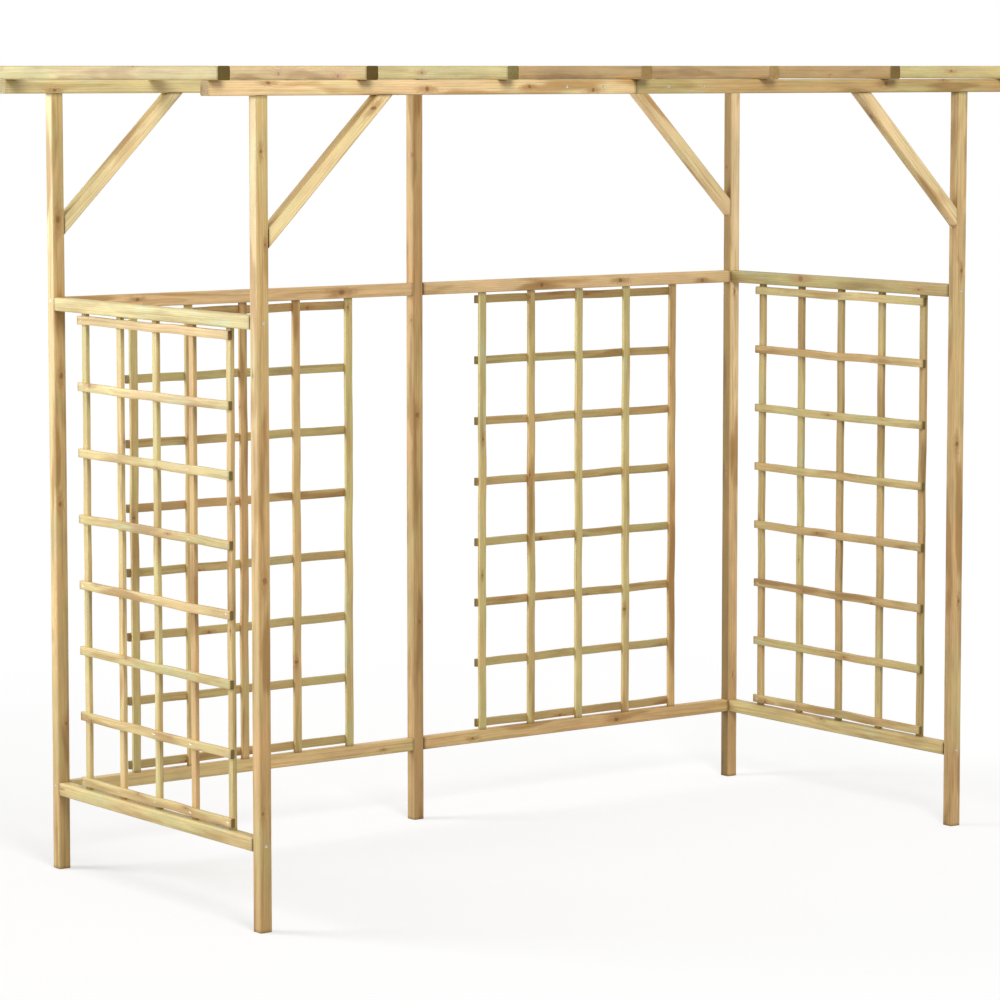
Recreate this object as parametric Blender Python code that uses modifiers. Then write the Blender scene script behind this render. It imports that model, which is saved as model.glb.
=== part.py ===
"""Garden pergola of square softwood timbers, open at the front, with trellis on its other three sides.

Metres, +Z up. X runs along the open front, Y from the front to the back. The origin is on the ground,
under the middle of the roof. Run it with blender --background --python part.py.
"""

import math

import bmesh
import bpy
from mathutils import Matrix, Vector

# Timber stock
TIMBER = 0.034            # side of the square timber of posts, rails, braces and rafters
BEAM_HEIGHT = 0.036       # the roof beams are a little taller than they are deep
EASED_EDGE = 0.004        # rounding along the four long edges of each timber
EDGE_STEPS = 2            # facets across one rounded edge

# Frame
POST_LENGTH = 2.000       # the beams lie on the post tops
FRONT_SPAN = 2.250        # between the centres of the left and the right posts
SIDE_SPAN = 0.950         # between the centres of a front post and a back post
LOWER_RAIL_CLEARANCE = 0.193   # from the ground to the underside of the lower rails

# Roof
BEAM_OVERHANG = 0.150     # from the outer posts' centres to the beam ends
RAFTER_COUNT = 7
RAFTER_OVERHANG = 0.060   # from the beams' centre lines to the rafter ends
BRACE_LEG = 0.360         # along the post, and along the beam, of a knee brace's long side
BRACE_CLEARANCE = 0.1584  # from the top of the upper rails to the feet of the knee braces
SPLICE_LENGTH = 0.500     # block behind the joint in the front beam

# Trellis
LATH_WIDTH = 0.022
LATH_THICKNESS = 0.011
UPRIGHT_PITCH = 0.169     # between the centres of upright laths
UPRIGHT_LATHS = 5
CROSS_LATHS = 8
UPRIGHT_END = 0.0075      # uprights run past the first and the last cross lath
CROSS_END = 0.005         # cross laths run past the outer uprights
LATH_BITE = 0.0004        # the crossings are pressed and stapled together

# Screws
SCREW_RADIUS = 0.002
SCREW_HEAD_RADIUS = 0.004
SCREW_HEAD_RIM = 0.0006
SCREW_HEAD_HEIGHT = 0.0028
SCREW_POINT = 0.005
SCREW_SIDES = 12
HEAD_SINK = 0.0005        # heads sit just under the wood
END_GRAIN_BITE = 0.046    # into the end of a rail, or the top of a post
SPLICE_COVER = 0.008      # wood left beyond the points of the screws through the front beam
CROSSING_OFFSET = 0.009   # screws that cross in a post pass this far above or below each other
SPLICE_SCREW_INNER = 0.104   # from the joint in the front beam to the inner screws
SPLICE_EDGE = 0.030       # from the ends of the block to the outer screws
TOE_SETBACK = 0.022       # from the post to where a slanted screw goes in
TOE_SINK = 0.007          # its head is driven below the rail's face
TOE_ANGLE = math.radians(32)   # between the slanted screw and the rail

# Fits
JOINT_GAP = 0.0003        # between timbers that touch
BORE_CLEARANCE = 0.0003   # round a screw in its hole
DRILL_MOUTH = 0.008       # a hole's tool stands this far out of the wood

# Places that follow from the sizes above
LEFT = -FRONT_SPAN / 2
RIGHT = FRONT_SPAN / 2
FRONT = -SIDE_SPAN / 2
BACK = SIDE_SPAN / 2
HALF = TIMBER / 2
BEAM_LENGTH = FRONT_SPAN + 2 * BEAM_OVERHANG
BEAM_BOTTOM = POST_LENGTH + JOINT_GAP
BEAM_TOP = BEAM_BOTTOM + BEAM_HEIGHT
RAFTER_BOTTOM = BEAM_TOP + JOINT_GAP
RAIL_SCREW = TIMBER + END_GRAIN_BITE
BEAM_SCREW = BEAM_HEIGHT + END_GRAIN_BITE
SPLICE_SCREW = 2 * TIMBER - SPLICE_COVER
TOE_SCREW = (TOE_SETBACK + HALF) / math.cos(TOE_ANGLE) - TOE_SINK   # to the middle of the post
LOWER_RAIL = LOWER_RAIL_CLEARANCE + HALF
UPPER_RAIL = POST_LENGTH - BRACE_LEG - BRACE_CLEARANCE - HALF
PANEL_BOTTOM = LOWER_RAIL + HALF + JOINT_GAP
PANEL_HEIGHT = UPPER_RAIL - HALF - JOINT_GAP - PANEL_BOTTOM
PANEL_WIDTH = (UPRIGHT_LATHS - 1) * UPRIGHT_PITCH + LATH_WIDTH + 2 * CROSS_END
CROSS_PITCH = (PANEL_HEIGHT - LATH_WIDTH - 2 * UPRIGHT_END) / (CROSS_LATHS - 1)   # 169 mm too
BAY_WIDTH = FRONT_SPAN / 2
SPLICE_SCREWS = {"inner": SPLICE_SCREW_INNER, "outer": SPLICE_LENGTH / 2 - SPLICE_EDGE}

POSTS = {
    "front_left": (LEFT, FRONT),
    "front_right": (RIGHT, FRONT),
    "back_left": (LEFT, BACK),
    "back_middle": (0.0, BACK),
    "back_right": (RIGHT, BACK),
}
RAIL_LEVELS = {"lower": LOWER_RAIL, "upper": UPPER_RAIL}

# Turns that lay a piece made along X the other ways
ALONG_X = (0.0, 0.0, 0.0)
ALONG_Y = (0.0, 0.0, math.pi / 2)
ALONG_Z = (0.0, -math.pi / 2, 0.0)

# Colours of pale impregnated pine and of zinc plate
POST_COLOUR = (0.60, 0.46, 0.25)
RAIL_COLOUR = (0.62, 0.49, 0.27)
BEAM_COLOUR = (0.66, 0.48, 0.27)
BRACE_COLOUR = (0.64, 0.49, 0.28)
RAFTER_COLOUR = (0.62, 0.52, 0.29)
SPLICE_COLOUR = (0.56, 0.45, 0.25)
TRELLIS_COLOUR = (0.63, 0.50, 0.28)
SCREW_COLOUR = (0.72, 0.72, 0.70)


def clear_scene():
    for obj in list(bpy.data.objects):
        bpy.data.objects.remove(obj, do_unlink=True)


def new_collection(name):
    collection = bpy.data.collections.new(name)
    bpy.context.scene.collection.children.link(collection)
    return collection


def new_material(name, colour, roughness, metallic=0.0):
    material = bpy.data.materials.new(name)
    material.use_nodes = True
    shader = material.node_tree.nodes["Principled BSDF"]
    shader.inputs["Base Color"].default_value = (*colour, 1.0)
    shader.inputs["Roughness"].default_value = roughness
    shader.inputs["Metallic"].default_value = metallic
    return material


def add_part(name, mesh, place, turn, colour, roughness=0.75, metallic=0.0):
    """One named sub-part with its own material; its mesh may be shared."""
    obj = bpy.data.objects.new(name, mesh)
    pergola.objects.link(obj)
    obj.location = place
    obj.rotation_euler = turn
    if not mesh.materials:
        mesh.materials.append(None)
    obj.material_slots[0].link = "OBJECT"
    obj.material_slots[0].material = new_material(name, colour, roughness, metallic)
    return obj


def timber_mesh(name, length, height, depth, mitre=0.0):
    """A timber along X, centred. A mitre draws both ends in by this much from the bottom to the top."""
    mesh = bpy.data.meshes.new(name)
    bm = bmesh.new()
    bmesh.ops.create_cube(bm, size=1.0, matrix=Matrix.Diagonal((length, depth, height, 1.0)))
    for vertex in bm.verts:
        if vertex.co.z > 0:
            vertex.co.x -= math.copysign(mitre, vertex.co.x)
    weight = bm.edges.layers.float.new("bevel_weight_edge")
    for edge in bm.edges:
        start, end = (vertex.co for vertex in edge.verts)
        if start.x * end.x < 0:
            edge[weight] = 1.0
    bm.to_mesh(mesh)
    bm.free()
    return mesh


def ease_edges(obj):
    """Rounds the long edges only: the ends are saw cuts."""
    bevel = obj.modifiers.new("eased_edges", "BEVEL")
    bevel.limit_method = "WEIGHT"
    bevel.width = EASED_EDGE
    bevel.segments = EDGE_STEPS


def add_timber(name, length, place, turn, colour, height=TIMBER, mitre=0.0):
    obj = add_part(name, timber_mesh(name, length, height, TIMBER, mitre), place, turn, colour)
    ease_edges(obj)
    return obj


def turned_mesh(name, profile):
    """An outline in the XZ plane, listed down its outer side, for a Screw modifier."""
    mesh = bpy.data.meshes.new(name)
    points = [(x, 0.0, z) for x, z in profile]
    mesh.from_pydata(points, [(i, i + 1) for i in range(len(points) - 1)], [])
    return mesh


def spin(obj):
    turn = obj.modifiers.new("turned", "SCREW")
    turn.steps = SCREW_SIDES
    turn.render_steps = SCREW_SIDES
    turn.use_merge_vertices = True
    turn.merge_threshold = 0.00001


def screw_profile(length, clearance=0.0, mouth=0.0):
    """Countersunk screw, down -Z from its head's top; with a clearance and a mouth, its hole's tool."""
    head = SCREW_HEAD_RADIUS + clearance
    shank = SCREW_RADIUS + clearance
    outline = [
        (0.0, mouth),
        (head, mouth),
        (head, -SCREW_HEAD_RIM - clearance),
        (shank, -SCREW_HEAD_HEIGHT - clearance),
        (shank, SCREW_POINT - length),
        (0.0, -length - clearance),
    ]
    return outline


def add_screw(name, length, entry, way_in, timbers, sink=HEAD_SINK):
    """A screw driven in at a point on a timber's face, and its hole through the timbers."""
    way_in = Vector(way_in).normalized()
    place = Vector(entry) + way_in * sink
    turn = (-way_in).to_track_quat("Z", "Y").to_euler()
    screw = add_part(name, turned_mesh(name, screw_profile(length)), place, turn, SCREW_COLOUR, 0.35, 1.0)
    spin(screw)
    drill_shape = screw_profile(length, BORE_CLEARANCE, mouth=sink + DRILL_MOUTH)
    drill = bpy.data.objects.new("drill_" + name, turned_mesh("drill_" + name, drill_shape))
    cutters.objects.link(drill)
    drill.location = place
    drill.rotation_euler = turn
    drill.hide_render = True
    drill.display_type = "WIRE"
    spin(drill)
    for timber in timbers:
        cut = timber.modifiers.new("hole_" + name, "BOOLEAN")
        cut.operation = "DIFFERENCE"
        cut.solver = "EXACT"
        cut.object = drill


def make_posts():
    made = {}
    for name, (x, y) in POSTS.items():
        middle = (x, y, POST_LENGTH / 2)
        made[name] = add_timber("post_" + name, POST_LENGTH, middle, ALONG_Z, POST_COLOUR)
    return made


def make_rails():
    """Eight rails butt between the posts, with their faces in line with the posts' faces."""
    made = {}
    side_length = SIDE_SPAN - TIMBER - 2 * JOINT_GAP
    back_length = BAY_WIDTH - TIMBER - 2 * JOINT_GAP
    runs = {
        "left": (side_length, LEFT, 0.0, ALONG_Y),
        "back_left": (back_length, LEFT / 2, BACK, ALONG_X),
        "back_right": (back_length, RIGHT / 2, BACK, ALONG_X),
        "right": (side_length, RIGHT, 0.0, ALONG_Y),
    }
    for side, (length, x, y, turn) in runs.items():
        for level, height in RAIL_LEVELS.items():
            name = f"{side}_{level}"
            made[name] = add_timber("rail_" + name, length, (x, y, height), turn, RAIL_COLOUR)
    return made


def make_beams():
    """Each beam is two equal lengths that meet in the middle: over a post behind, at a block in front."""
    made = {}
    length = (BEAM_LENGTH - JOINT_GAP) / 2
    height = BEAM_BOTTOM + BEAM_HEIGHT / 2
    for row, y in (("front", FRONT), ("back", BACK)):
        for side, way in (("left", -1), ("right", 1)):
            name = f"{row}_{side}"
            x = way * (length + JOINT_GAP) / 2
            middle = (x, y, height)
            made[name] = add_timber("beam_" + name, length, middle, ALONG_X, BEAM_COLOUR, BEAM_HEIGHT)
    place = (0.0, FRONT + TIMBER + JOINT_GAP, height)
    made["block"] = add_timber("splice_block", SPLICE_LENGTH, place, ALONG_X, SPLICE_COLOUR, BEAM_HEIGHT)
    return made


def make_braces():
    """Knee braces at the four corner posts, under the beams, mitred at both ends."""
    long_side = BRACE_LEG * math.sqrt(2)
    lean = math.radians(45)
    for name, (x, y) in POSTS.items():
        if x == 0.0:
            continue
        way = -math.copysign(1.0, x)
        post_face = x + way * (HALF + JOINT_GAP)
        under_beam = BEAM_BOTTOM - JOINT_GAP
        inward = HALF * math.sin(lean)
        middle = (
            post_face + way * (BRACE_LEG / 2 - inward),
            y,
            under_beam - BRACE_LEG / 2 + inward,
        )
        turn = (0.0, -lean, 0.0 if way > 0 else math.pi)
        add_timber("brace_" + name, long_side, middle, turn, BRACE_COLOUR, mitre=TIMBER)


def make_rafters():
    length = SIDE_SPAN + 2 * RAFTER_OVERHANG
    spacing = (BEAM_LENGTH - TIMBER) / (RAFTER_COUNT - 1)
    height = RAFTER_BOTTOM + HALF
    for i in range(RAFTER_COUNT):
        x = (i - (RAFTER_COUNT - 1) / 2) * spacing
        add_timber(f"rafter_{i + 1}", length, (x, 0.0, height), ALONG_Y, RAFTER_COLOUR)


def lath_rows(name, boxes):
    """Laths of one layer, each given by its centre and its size."""
    mesh = bpy.data.meshes.new(name)
    bm = bmesh.new()
    for centre, size in boxes:
        place = Matrix.Translation(centre) @ Matrix.Diagonal((*size, 1.0))
        bmesh.ops.create_cube(bm, size=1.0, matrix=place)
    bm.to_mesh(mesh)
    bm.free()
    obj = bpy.data.objects.new(name, mesh)
    cutters.objects.link(obj)
    return obj


def trellis_mesh():
    """Uprights in front (-Y), cross laths behind (+Y), fixed at each crossing. Its foot is at Z 0."""
    upright = (LATH_WIDTH, LATH_THICKNESS, PANEL_HEIGHT)
    across = (PANEL_WIDTH, LATH_THICKNESS, LATH_WIDTH)
    uprights = [
        (((i - (UPRIGHT_LATHS - 1) / 2) * UPRIGHT_PITCH, -LATH_THICKNESS / 2, PANEL_HEIGHT / 2), upright)
        for i in range(UPRIGHT_LATHS)
    ]
    first = UPRIGHT_END + LATH_WIDTH / 2
    crosses = [
        ((0.0, LATH_THICKNESS / 2 - LATH_BITE, first + i * CROSS_PITCH), across)
        for i in range(CROSS_LATHS)
    ]
    front = lath_rows("uprights", uprights)
    rear = lath_rows("cross_laths", crosses)
    union = front.modifiers.new("stapled", "BOOLEAN")
    union.operation = "UNION"
    union.solver = "EXACT"
    union.object = rear
    bpy.context.view_layer.update()
    graph = bpy.context.evaluated_depsgraph_get()
    mesh = bpy.data.meshes.new_from_object(front.evaluated_get(graph))
    mesh.name = "trellis"
    bpy.data.objects.remove(front)
    bpy.data.objects.remove(rear)
    return mesh


def make_trellis():
    """One panel in each bay. In both side walls the cross laths face left, in the back wall outwards."""
    mesh = trellis_mesh()
    places = {
        "left": (LEFT, 0.0, ALONG_Y),
        "back_left": (LEFT / 2, BACK, ALONG_X),
        "back_right": (RIGHT / 2, BACK, ALONG_X),
        "right": (RIGHT, 0.0, ALONG_Y),
    }
    for side, (x, y, turn) in places.items():
        add_part("trellis_" + side, mesh, (x, y, PANEL_BOTTOM), turn, TRELLIS_COLOUR)


def make_rail_screws(posts, rails):
    """Straight through the corner posts into the rail ends, and slanting into the middle post."""
    for level, height in RAIL_LEVELS.items():
        for side, x in (("left", LEFT), ("right", RIGHT)):
            rail = rails[f"{side}_{level}"]
            for row, y, way in (("front", FRONT, 1), ("back", BACK, -1)):
                entry = (x, y - way * HALF, height)
                timbers = (posts[f"{row}_{side}"], rail)
                add_screw(f"screw_{side}_{level}_{row}", RAIL_SCREW, entry, (0, way, 0), timbers)
        for side, x, way in (("left", LEFT, 1), ("right", RIGHT, -1)):
            rail = rails[f"back_{side}_{level}"]
            entry = (x - way * HALF, BACK, height + CROSSING_OFFSET)
            timbers = (posts["back_" + side], rail)
            add_screw(f"screw_back_{side}_{level}_outer", RAIL_SCREW, entry, (way, 0, 0), timbers)
            entry = (-way * (HALF + TOE_SETBACK), BACK + HALF, height - way * CROSSING_OFFSET)
            way_in = (way * math.cos(TOE_ANGLE), -math.sin(TOE_ANGLE), 0)
            timbers = (posts["back_middle"], rail)
            add_screw(f"screw_back_{side}_{level}_inner", TOE_SCREW, entry, way_in, timbers, TOE_SINK)


def make_splice_screws(beams):
    height = BEAM_BOTTOM + BEAM_HEIGHT / 2
    for side, way in (("left", -1), ("right", 1)):
        for place, offset in SPLICE_SCREWS.items():
            entry = (way * offset, FRONT - HALF, height)
            timbers = (beams["front_" + side], beams["block"])
            add_screw(f"screw_splice_{side}_{place}", SPLICE_SCREW, entry, (0, 1, 0), timbers)


def make_beam_screws(posts, beams):
    """One screw down each beam end's post, and one for each beam length over the middle post."""
    for name, (x, y) in POSTS.items():
        if x != 0.0:
            entry = (x, y, BEAM_TOP)
            add_screw(f"screw_beam_{name}", BEAM_SCREW, entry, (0, 0, -1), (posts[name], beams[name]))
    for side, way in (("left", -1), ("right", 1)):
        entry = (way * HALF / 2, BACK, BEAM_TOP)
        timbers = (posts["back_middle"], beams["back_" + side])
        add_screw(f"screw_beam_middle_{side}", BEAM_SCREW, entry, (0, 0, -1), timbers)


clear_scene()
pergola = new_collection("pergola")
cutters = new_collection("cutters")
posts = make_posts()
rails = make_rails()
beams = make_beams()
make_braces()
make_rafters()
make_trellis()
make_rail_screws(posts, rails)
make_splice_screws(beams)
make_beam_screws(posts, beams)
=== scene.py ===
"""Garden pergola, dressed: the timbers, laths and screws of the packed model as detailed pieces.

All sizes and places come from the packed model. Metres, +Z up, the open front faces -Y.
"""

import math

import bpy
import numpy as np
from bpy.props import FloatProperty, FloatVectorProperty, IntProperty, PointerProperty
from bpy.types import Operator, Panel, PropertyGroup
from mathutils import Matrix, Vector


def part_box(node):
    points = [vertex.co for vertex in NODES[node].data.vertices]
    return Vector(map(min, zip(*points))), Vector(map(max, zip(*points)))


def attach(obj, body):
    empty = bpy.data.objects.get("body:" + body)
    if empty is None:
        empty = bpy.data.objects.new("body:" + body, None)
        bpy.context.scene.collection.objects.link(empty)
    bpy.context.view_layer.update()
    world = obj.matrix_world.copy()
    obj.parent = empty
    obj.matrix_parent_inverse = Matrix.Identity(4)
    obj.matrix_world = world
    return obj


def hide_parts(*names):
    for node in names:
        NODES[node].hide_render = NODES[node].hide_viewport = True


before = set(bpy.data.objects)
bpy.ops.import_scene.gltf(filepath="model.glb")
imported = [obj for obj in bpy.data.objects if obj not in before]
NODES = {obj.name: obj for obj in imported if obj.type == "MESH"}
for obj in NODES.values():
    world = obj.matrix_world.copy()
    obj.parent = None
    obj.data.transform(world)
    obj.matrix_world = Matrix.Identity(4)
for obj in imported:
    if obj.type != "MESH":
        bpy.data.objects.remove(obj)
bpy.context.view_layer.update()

bl_info = {
    "name": "Garden pergola",
    "version": (1, 0, 0),
    "blender": (4, 5, 0),
    "location": "3D Viewport > Sidebar > Pergola",
    "description": "Builds the timbers, trellis panels and screws of a garden pergola",
    "category": "Object",
}

# Turns that lay a piece made along X the other ways
ALONG_X = np.eye(3)
ALONG_Y = np.array([[0.0, -1.0, 0.0], [1.0, 0.0, 0.0], [0.0, 0.0, 1.0]])
ALONG_Z = np.array([[0.0, 0.0, -1.0], [0.0, 1.0, 0.0], [1.0, 0.0, 0.0]])

# The camera's place, how far it looks down and to the right of +Y in degrees, its shift, film and reach
CAMERA_PLACE = (-6.223, -8.293, 2.068)
CAMERA_DOWN = 5.407
CAMERA_RIGHT = 36.606
CAMERA_SHIFT = -0.06
FILM_WIDTH = 36.0
CAMERA_REACH = 500.0

# Soft round lamps: name, place, diameter, the setting for its power, and colour. Both face LIT
WARM = (1.0, 0.98, 0.94)
LAMPS = (
    ("key_lamp", (-4.6, 3.2, 2.5), 3.0, "key", (0.95, 1.0, 1.06)),
    ("front_lamp", (-2.2, -5.5, 4.4), 2.4, "front", WARM),
)
LIT = Vector((0.0, 0.0, 1.0))

# The lamps' light on the floor with what floor and timbers throw back, over the lamps' light alone
THROWN_BACK = 1.06

# Lengths of the screws that the packed model leaves out, how far a brace's are from its ends, and their sink
RAFTER_SCREW = 0.060
BRACE_SCREW = 0.058
BRACE_SCREW_INSET = 0.030
SCREW_SINK = 0.0005

# A screw at more than STRAIGHT radians to the face goes straight in. The hole round a head, and a slanted one
STRAIGHT = 1.5
HOLE_RADIUS = 0.0049
SLANTED_HOLE_RADIUS = 0.0044

# Laths: their rounding, most bow and end darkness, then for uprights and cross laths the first seed, the
# knots' size and spacing, and the distance between stations
LATH_ARRIS = 0.0014
LATH_BOW = 0.0012
LATH_ENDS = (0.8, 0.8)
UPRIGHT = (1000, 0.0065, (0.25, 0.7), 0.05)
CROSS = (1020, 0.0085, (0.13, 0.42), 0.04)

# How far a staple is turned, in radians, and out of place, at most
STAPLE_TURN = 0.35
STAPLE_STRAY = 0.002

# Size and spacing of knots by chance, metres of grain between two seeds, and how deep an end is soaked
TIMBER_KNOTS = (0.0062, (0.16, 0.42))
GRAIN_GAP = 3.7
SOAKED = 0.009

# Each timber's own character: from greenish 0 to pinkish 1, its shade (0.5 is plain), and a seed
TEMPERS = {
    "post_back_left": (0.50, 0.50, 11),
    "post_front_left": (0.55, 0.48, 12),
    "post_back_middle": (0.80, 0.47, 13),
    "post_back_right": (0.85, 0.66, 14),
    "post_front_right": (0.50, 0.57, 15),
    "rail_left_lower": (0.30, 0.52, 21),
    "rail_left_upper": (-0.08, 0.58, 29),
    "rail_back_left_lower": (0.55, 0.55, 23),
    "rail_back_left_upper": (1.15, 0.62, 24),
    "rail_back_right_lower": (0.95, 0.55, 25),
    "rail_back_right_upper": (1.00, 0.66, 26),
    "rail_right_lower": (0.35, 0.53, 27),
    "rail_right_upper": (0.32, 0.40, 28),
    "beam_front_left": (0.65, 0.66, 31),
    "beam_front_right": (0.45, 0.49, 32),
    "beam_back_left": (0.15, 0.64, 36),
    "beam_back_right": (0.30, 0.54, 34),
    "splice_block": (0.40, 0.46, 35),
    "brace_front_left": (0.50, 0.66, 46),
    "brace_front_right": (0.50, 0.72, 42),
    "brace_back_left": (0.08, 0.74, 43),
    "brace_back_right": (0.65, 0.72, 44),
    "rafter_1": (0.30, 0.45, 51),
    "rafter_2": (0.60, 0.46, 52),
    "rafter_3": (0.10, 0.47, 53),
    "rafter_4": (0.90, 0.36, 54),
    "rafter_5": (0.90, 0.37, 55),
    "rafter_6": (0.90, 0.37, 56),
    "rafter_7": (-0.05, 0.50, 57),
}

# Shade added to a timber's faces: the far, the upper or left, the front and the lower or right one. On the
# posts it is painted light and shade: the left faces of the two left posts lighter and paler, as lit by
# the key lamp, and those of the two right posts darker, as in shade. On the braces the darker upper
# faces are heartwood and partly painted shade, and the lower faces are darker too
PLAIN_FACES = (0.0, 0.0, 0.0, 0.0)
FACE_HEARTWOOD_AND_PAINTED_SHADE = {
    "post_back_left": (0.0, 0.12, 0.0, 0.0),
    "post_front_left": (0.0, 0.14, 0.0, 0.0),
    "post_back_right": (0.0, -0.40, 0.0, 0.0),
    "post_front_right": (0.0, -0.13, 0.0, 0.0),
    "brace_front_left": (0.0, -0.26, 0.0, -0.12),
    "brace_front_right": (0.0, -0.20, 0.0, -0.12),
    "brace_back_left": (0.0, -0.30, 0.0, -0.12),
    "brace_back_right": (0.0, -0.20, 0.0, -0.12),
}

# How a post changes from its head to its foot: its shade at either end over its plain one, which is
# painted light towards the head and painted shade towards the foot, and the tone added at the foot
PLAIN_FADE = (1.0, 1.0, 0.0)
POST_TONE_AND_PAINTED_SHADE = {
    "post_back_left": (1.06, 0.74, 0.25),
    "post_front_left": (1.04, 0.80, 0.50),
    "post_back_middle": (1.02, 0.84, 0.10),
    "post_back_right": (1.20, 0.78, 0.35),
    "post_front_right": (1.06, 0.94, 0.30),
}

# How dark each sawn end is, the low, left or front one first: soaked end grain, and partly painted light
# and shade, as on the beams' left ends, which face the key lamp and are lighter
PLAIN_ENDS = (1.0, 1.0)
END_SOAK_AND_PAINTED_SHADE = {
    "beam_front_left": (0.55, 0.9),
    "beam_front_right": (0.9, 0.5),
    "beam_back_left": (0.5, 0.9),
    "rafter_1": (0.92, 1.0),
    "rafter_2": (0.95, 1.0),
    "rafter_3": (0.65, 1.0),
    "rafter_4": (0.30, 1.0),
    "rafter_5": (0.05, 1.0),
    "rafter_6": (0.65, 1.0),
}

# Each panel's laths: tone and shade of its uprights, then of its cross laths from the lowest up
LATHS = {
    "trellis_back_left": (
        ((0.35, 0.50), (0.45, 0.50), (0.85, 0.46), (0.70, 0.50), (0.20, 0.50)),
        ((0.45, 0.42), (0.40, 0.43), (0.50, 0.42), (0.30, 0.42),
         (0.75, 0.42), (0.35, 0.42), (0.30, 0.42), (0.85, 0.38)),
    ),
    "trellis_back_right": (
        ((0.20, 0.52), (0.45, 0.50), (0.15, 0.56), (0.20, 0.54), (0.85, 0.50)),
        ((0.60, 0.42), (0.35, 0.45), (0.50, 0.43), (0.30, 0.44),
         (0.40, 0.44), (0.60, 0.44), (0.45, 0.43), (0.55, 0.38)),
    ),
    "trellis_left": (
        ((0.55, 0.52), (0.95, 0.50), (0.25, 0.55), (0.55, 0.56), (0.30, 0.54)),
        ((0.30, 0.52), (0.40, 0.54), (0.30, 0.53), (0.55, 0.56),
         (0.35, 0.50), (0.30, 0.55), (0.25, 0.57), (0.85, 0.56)),
    ),
    "trellis_right": (
        ((0.75, 0.40), (0.40, 0.46), (0.60, 0.42), (0.30, 0.50), (0.50, 0.48)),
        ((0.40, 0.52), (0.35, 0.50), (0.70, 0.44), (0.60, 0.46),
         (0.45, 0.48), (0.35, 0.50), (0.60, 0.48), (0.35, 0.52)),
    ),
}

# Knots that show in front: place along the timber from its middle, degrees round its middle, and radius
KNOTS = {
    "post_back_left": [(-0.62, 200.0, 0.004), (-0.05, 160.0, 0.006), (0.28, 185.0, 0.006),
                       (0.68, 170.0, 0.007)],
    "post_front_left": [(-0.71, 150.0, 0.004), (-0.15, 180.0, 0.0065), (0.34, 75.0, 0.004),
                        (0.65, 200.0, 0.003), (0.87, 165.0, 0.004)],
    "post_back_middle": [(-0.45, 190.0, 0.005), (0.12, 170.0, 0.006), (0.38, 120.0, 0.004),
                         (0.83, 130.0, 0.006)],
    "post_back_right": [(-0.70, 180.0, 0.004), (-0.10, 100.0, 0.004), (0.42, 175.0, 0.005),
                        (0.78, 80.0, 0.005)],
    "post_front_right": [(-0.38, 190.0, 0.004), (0.05, 150.0, 0.005), (0.52, 180.0, 0.0045),
                         (0.64, 95.0, 0.006)],
    "rail_back_left_upper": [(-0.33, 170.0, 0.004), (0.31, 180.0, 0.007)],
    "rail_back_right_upper": [(-0.14, 185.0, 0.006), (0.14, 175.0, 0.0065), (0.44, 200.0, 0.004)],
    "rail_back_right_lower": [(-0.38, 190.0, 0.004), (0.13, 180.0, 0.006)],
    "rail_right_upper": [(-0.34, 350.0, 0.004), (0.15, 20.0, 0.0075)],
    "beam_front_left": [(-0.47, 140.0, 0.006), (-0.01, 190.0, 0.0055), (0.30, 175.0, 0.005),
                        (0.50, 200.0, 0.004)],
    "rafter_7": [(-0.32, 10.0, 0.006), (-0.05, 345.0, 0.005), (0.2, 0.0, 0.006)],
}


# Shapes

def smooth(low, high, value):
    """Smooth step t t (3 - 2 t), where t is the value's place between low and high, kept within 0 and 1."""
    t = np.clip((value - low) / (high - low), 0.0, 1.0)
    return t * t * (3.0 - 2.0 * t)


def wander(along, seed, waves):
    """A slow wander within -1 and 1: the mean of a sine for each wavelength, its phase from the seed."""
    phases = np.random.RandomState(seed).uniform(0.0, 2.0 * np.pi, len(waves))
    lines = [np.sin(2.0 * np.pi * along / wave + phase) for wave, phase in zip(waves, phases)]
    return np.mean(lines, axis=0)


def outline(width, height, radius, steps, marks):
    """Points round a timber: a quarter circle at each corner and the flats between them.

    Corner k's points are its centre plus radius (cos a, sin a), a from 90 k to 90 k + 90 degrees. Marks give
    places of extra points along the flat that follows it. A row holds y, z, the corner and sin 2(a - 90 k).
    """
    rows = []
    for k in range(4):
        angle = np.linspace(k, k + 1, steps + 1) * np.pi / 2
        side = 1.0 if k in (0, 3) else -1.0
        level = 1.0 if k in (0, 1) else -1.0
        arc = np.stack([
            side * (width / 2 - radius) + radius * np.cos(angle),
            level * (height / 2 - radius) + radius * np.sin(angle),
            np.full(steps + 1, k),
            np.sin(2.0 * (angle - k * np.pi / 2)),
        ], axis=1)
        rows.append(arc)
        across = k in (0, 2)
        reach = (width if across else height) / 2 - radius - 0.0006
        places = np.unique(np.round(np.append(np.array([-0.4, 0.4]) * reach, marks[(k + 1) % 4]), 5))
        places = places[np.abs(places) < reach]
        if k in (0, 1):
            places = places[::-1]
        flat = np.zeros((len(places), 4))
        flat[:, 0] = places if across else side_of(k) * width / 2
        flat[:, 1] = side_of(k) * height / 2 if across else places
        flat[:, 2] = k
        rows.append(flat)
    return np.concatenate(rows)


def walls(rows, around, flipped=False):
    """Numbers of a closed grid's points, the same one place on, and the quads from each row to the next."""
    index = np.arange(rows * around).reshape(rows, around)
    turned = np.roll(index, -1, axis=1)
    corners = (index[:-1], turned[:-1], turned[1:], index[1:])
    if flipped:
        corners = corners[:1] + corners[:0:-1]
    return index, turned, np.stack(corners, axis=2).reshape(-1, 4)


def side_of(k):
    """The sign of the face after corner k: the top after 0, the far side after 1, the bottom after 2."""
    return (1.0, -1.0, -1.0, 1.0)[k]


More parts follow.
